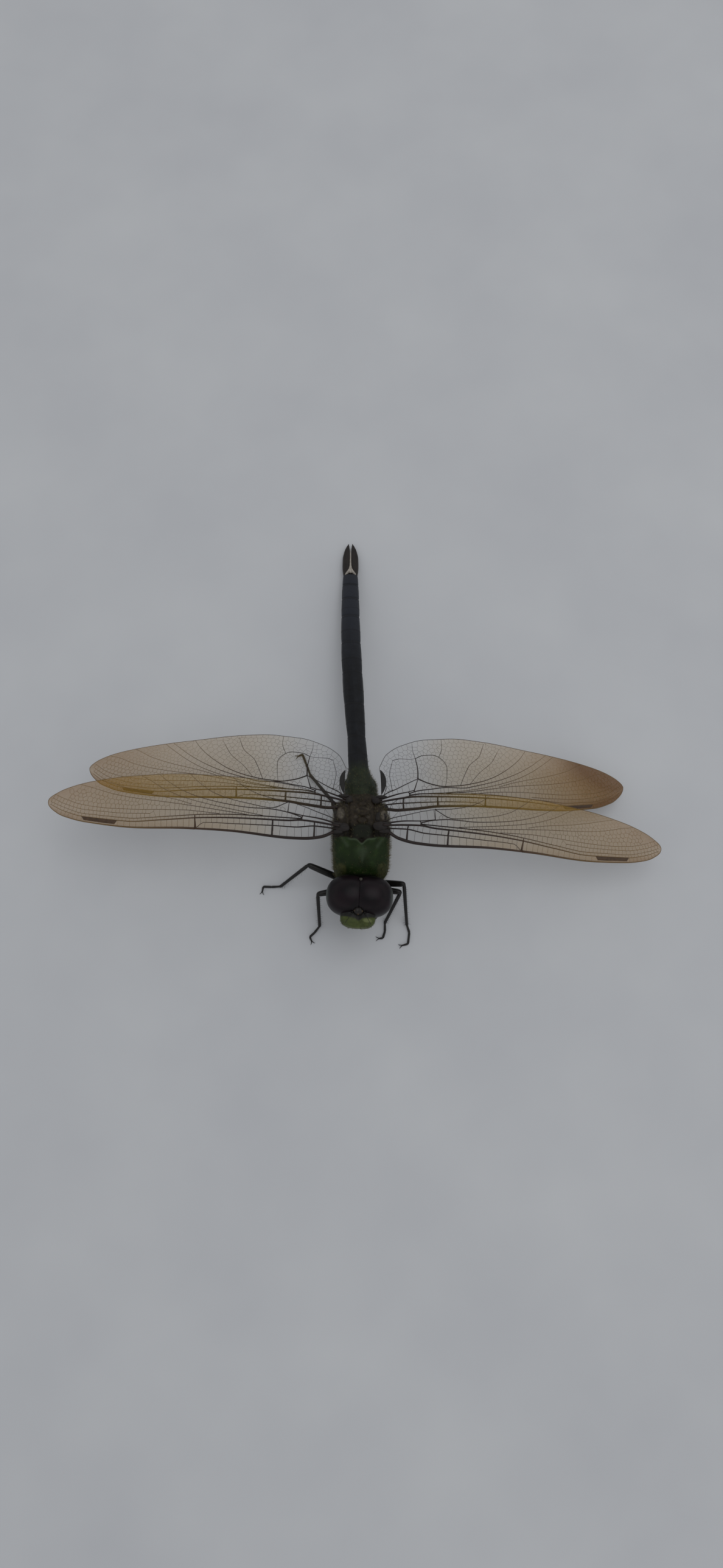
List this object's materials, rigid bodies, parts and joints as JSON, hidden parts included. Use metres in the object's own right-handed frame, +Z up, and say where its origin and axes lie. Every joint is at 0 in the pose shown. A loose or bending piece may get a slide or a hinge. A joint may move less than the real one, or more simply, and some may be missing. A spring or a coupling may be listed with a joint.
{
  "type": "emperor dragonfly",
  "caption": "Resting emperor dragonfly with smoky amber wings spread, green thorax and blackish abdomen, standing on its feet and tail tip.",
  "frame": {"origin": "bottom centre of the whole insect's box, on the floor it stands on", "axes": "+Z up; the head looks along -Y, the abdomen points along +Y, and the insect's left wings reach along +X"},
  "size_m": [0.1008, 0.0744, 0.0149],
  "materials": {
    "eye": "glossy blackish brown compound eye with fine facets",
    "face": "satin olive yellow-green cuticle",
    "head": "satin dark brown cuticle",
    "thorax": "satin dark green cuticle with short fine hairs",
    "abdomen": "satin blue-black cuticle, fine grained",
    "appendages": "semi-gloss dark red-brown horn",
    "leg": "semi-gloss black cuticle with spines",
    "wing": "clear smoky amber membrane with dark brown veins"
  },
  "bodies": {
    "root": {"mesothorax": "thorax", "metathorax": "thorax", "prothorax": "head", "abdomen_s1": "abdomen", "abdomen_s2": "abdomen", "abdomen_s3": "abdomen", "abdomen_s4": "abdomen", "abdomen_s5": "abdomen", "abdomen_s6": "abdomen", "abdomen_s7": "abdomen", "abdomen_s8": "abdomen", "abdomen_s9": "abdomen", "abdomen_s10": "abdomen", "cercus_right": "appendages", "cercus_left": "appendages", "epiproct": "appendages", "eye_left": "eye", "eye_right": "eye", "head": "head", "frons": "face", "clypeus": "face", "labrum": "face", "mandible_left": "head", "mandible_right": "head", "labium": "face", "vertex": "head", "antenna_left": "head", "antenna_right": "head", "neck": "head", "leg_fore_right_coxa": "leg", "leg_fore_right_femur": "leg", "leg_fore_right_tibia": "leg", "leg_fore_right_tarsus": "leg", "leg_fore_left_coxa": "leg", "leg_fore_left_femur": "leg", "leg_fore_left_tibia": "leg", "leg_fore_left_tarsus": "leg", "leg_mid_right_coxa": "leg", "leg_mid_right_femur": "leg", "leg_mid_right_tibia": "leg", "leg_mid_right_tarsus": "leg", "leg_mid_left_coxa": "leg", "leg_mid_left_femur": "leg", "leg_mid_left_tibia": "leg", "leg_mid_left_tarsus": "leg", "leg_hind_right_coxa": "leg", "leg_hind_right_femur": "leg", "leg_hind_right_tibia": "leg", "leg_hind_right_tarsus": "leg", "leg_hind_left_coxa": "leg", "leg_hind_left_femur": "leg", "leg_hind_left_tibia": "leg", "leg_hind_left_tarsus": "leg", "forewing_right": "wing", "forewing_left": "wing", "hindwing_right": "wing", "hindwing_left": "wing"}
  },
  "joints": []
}
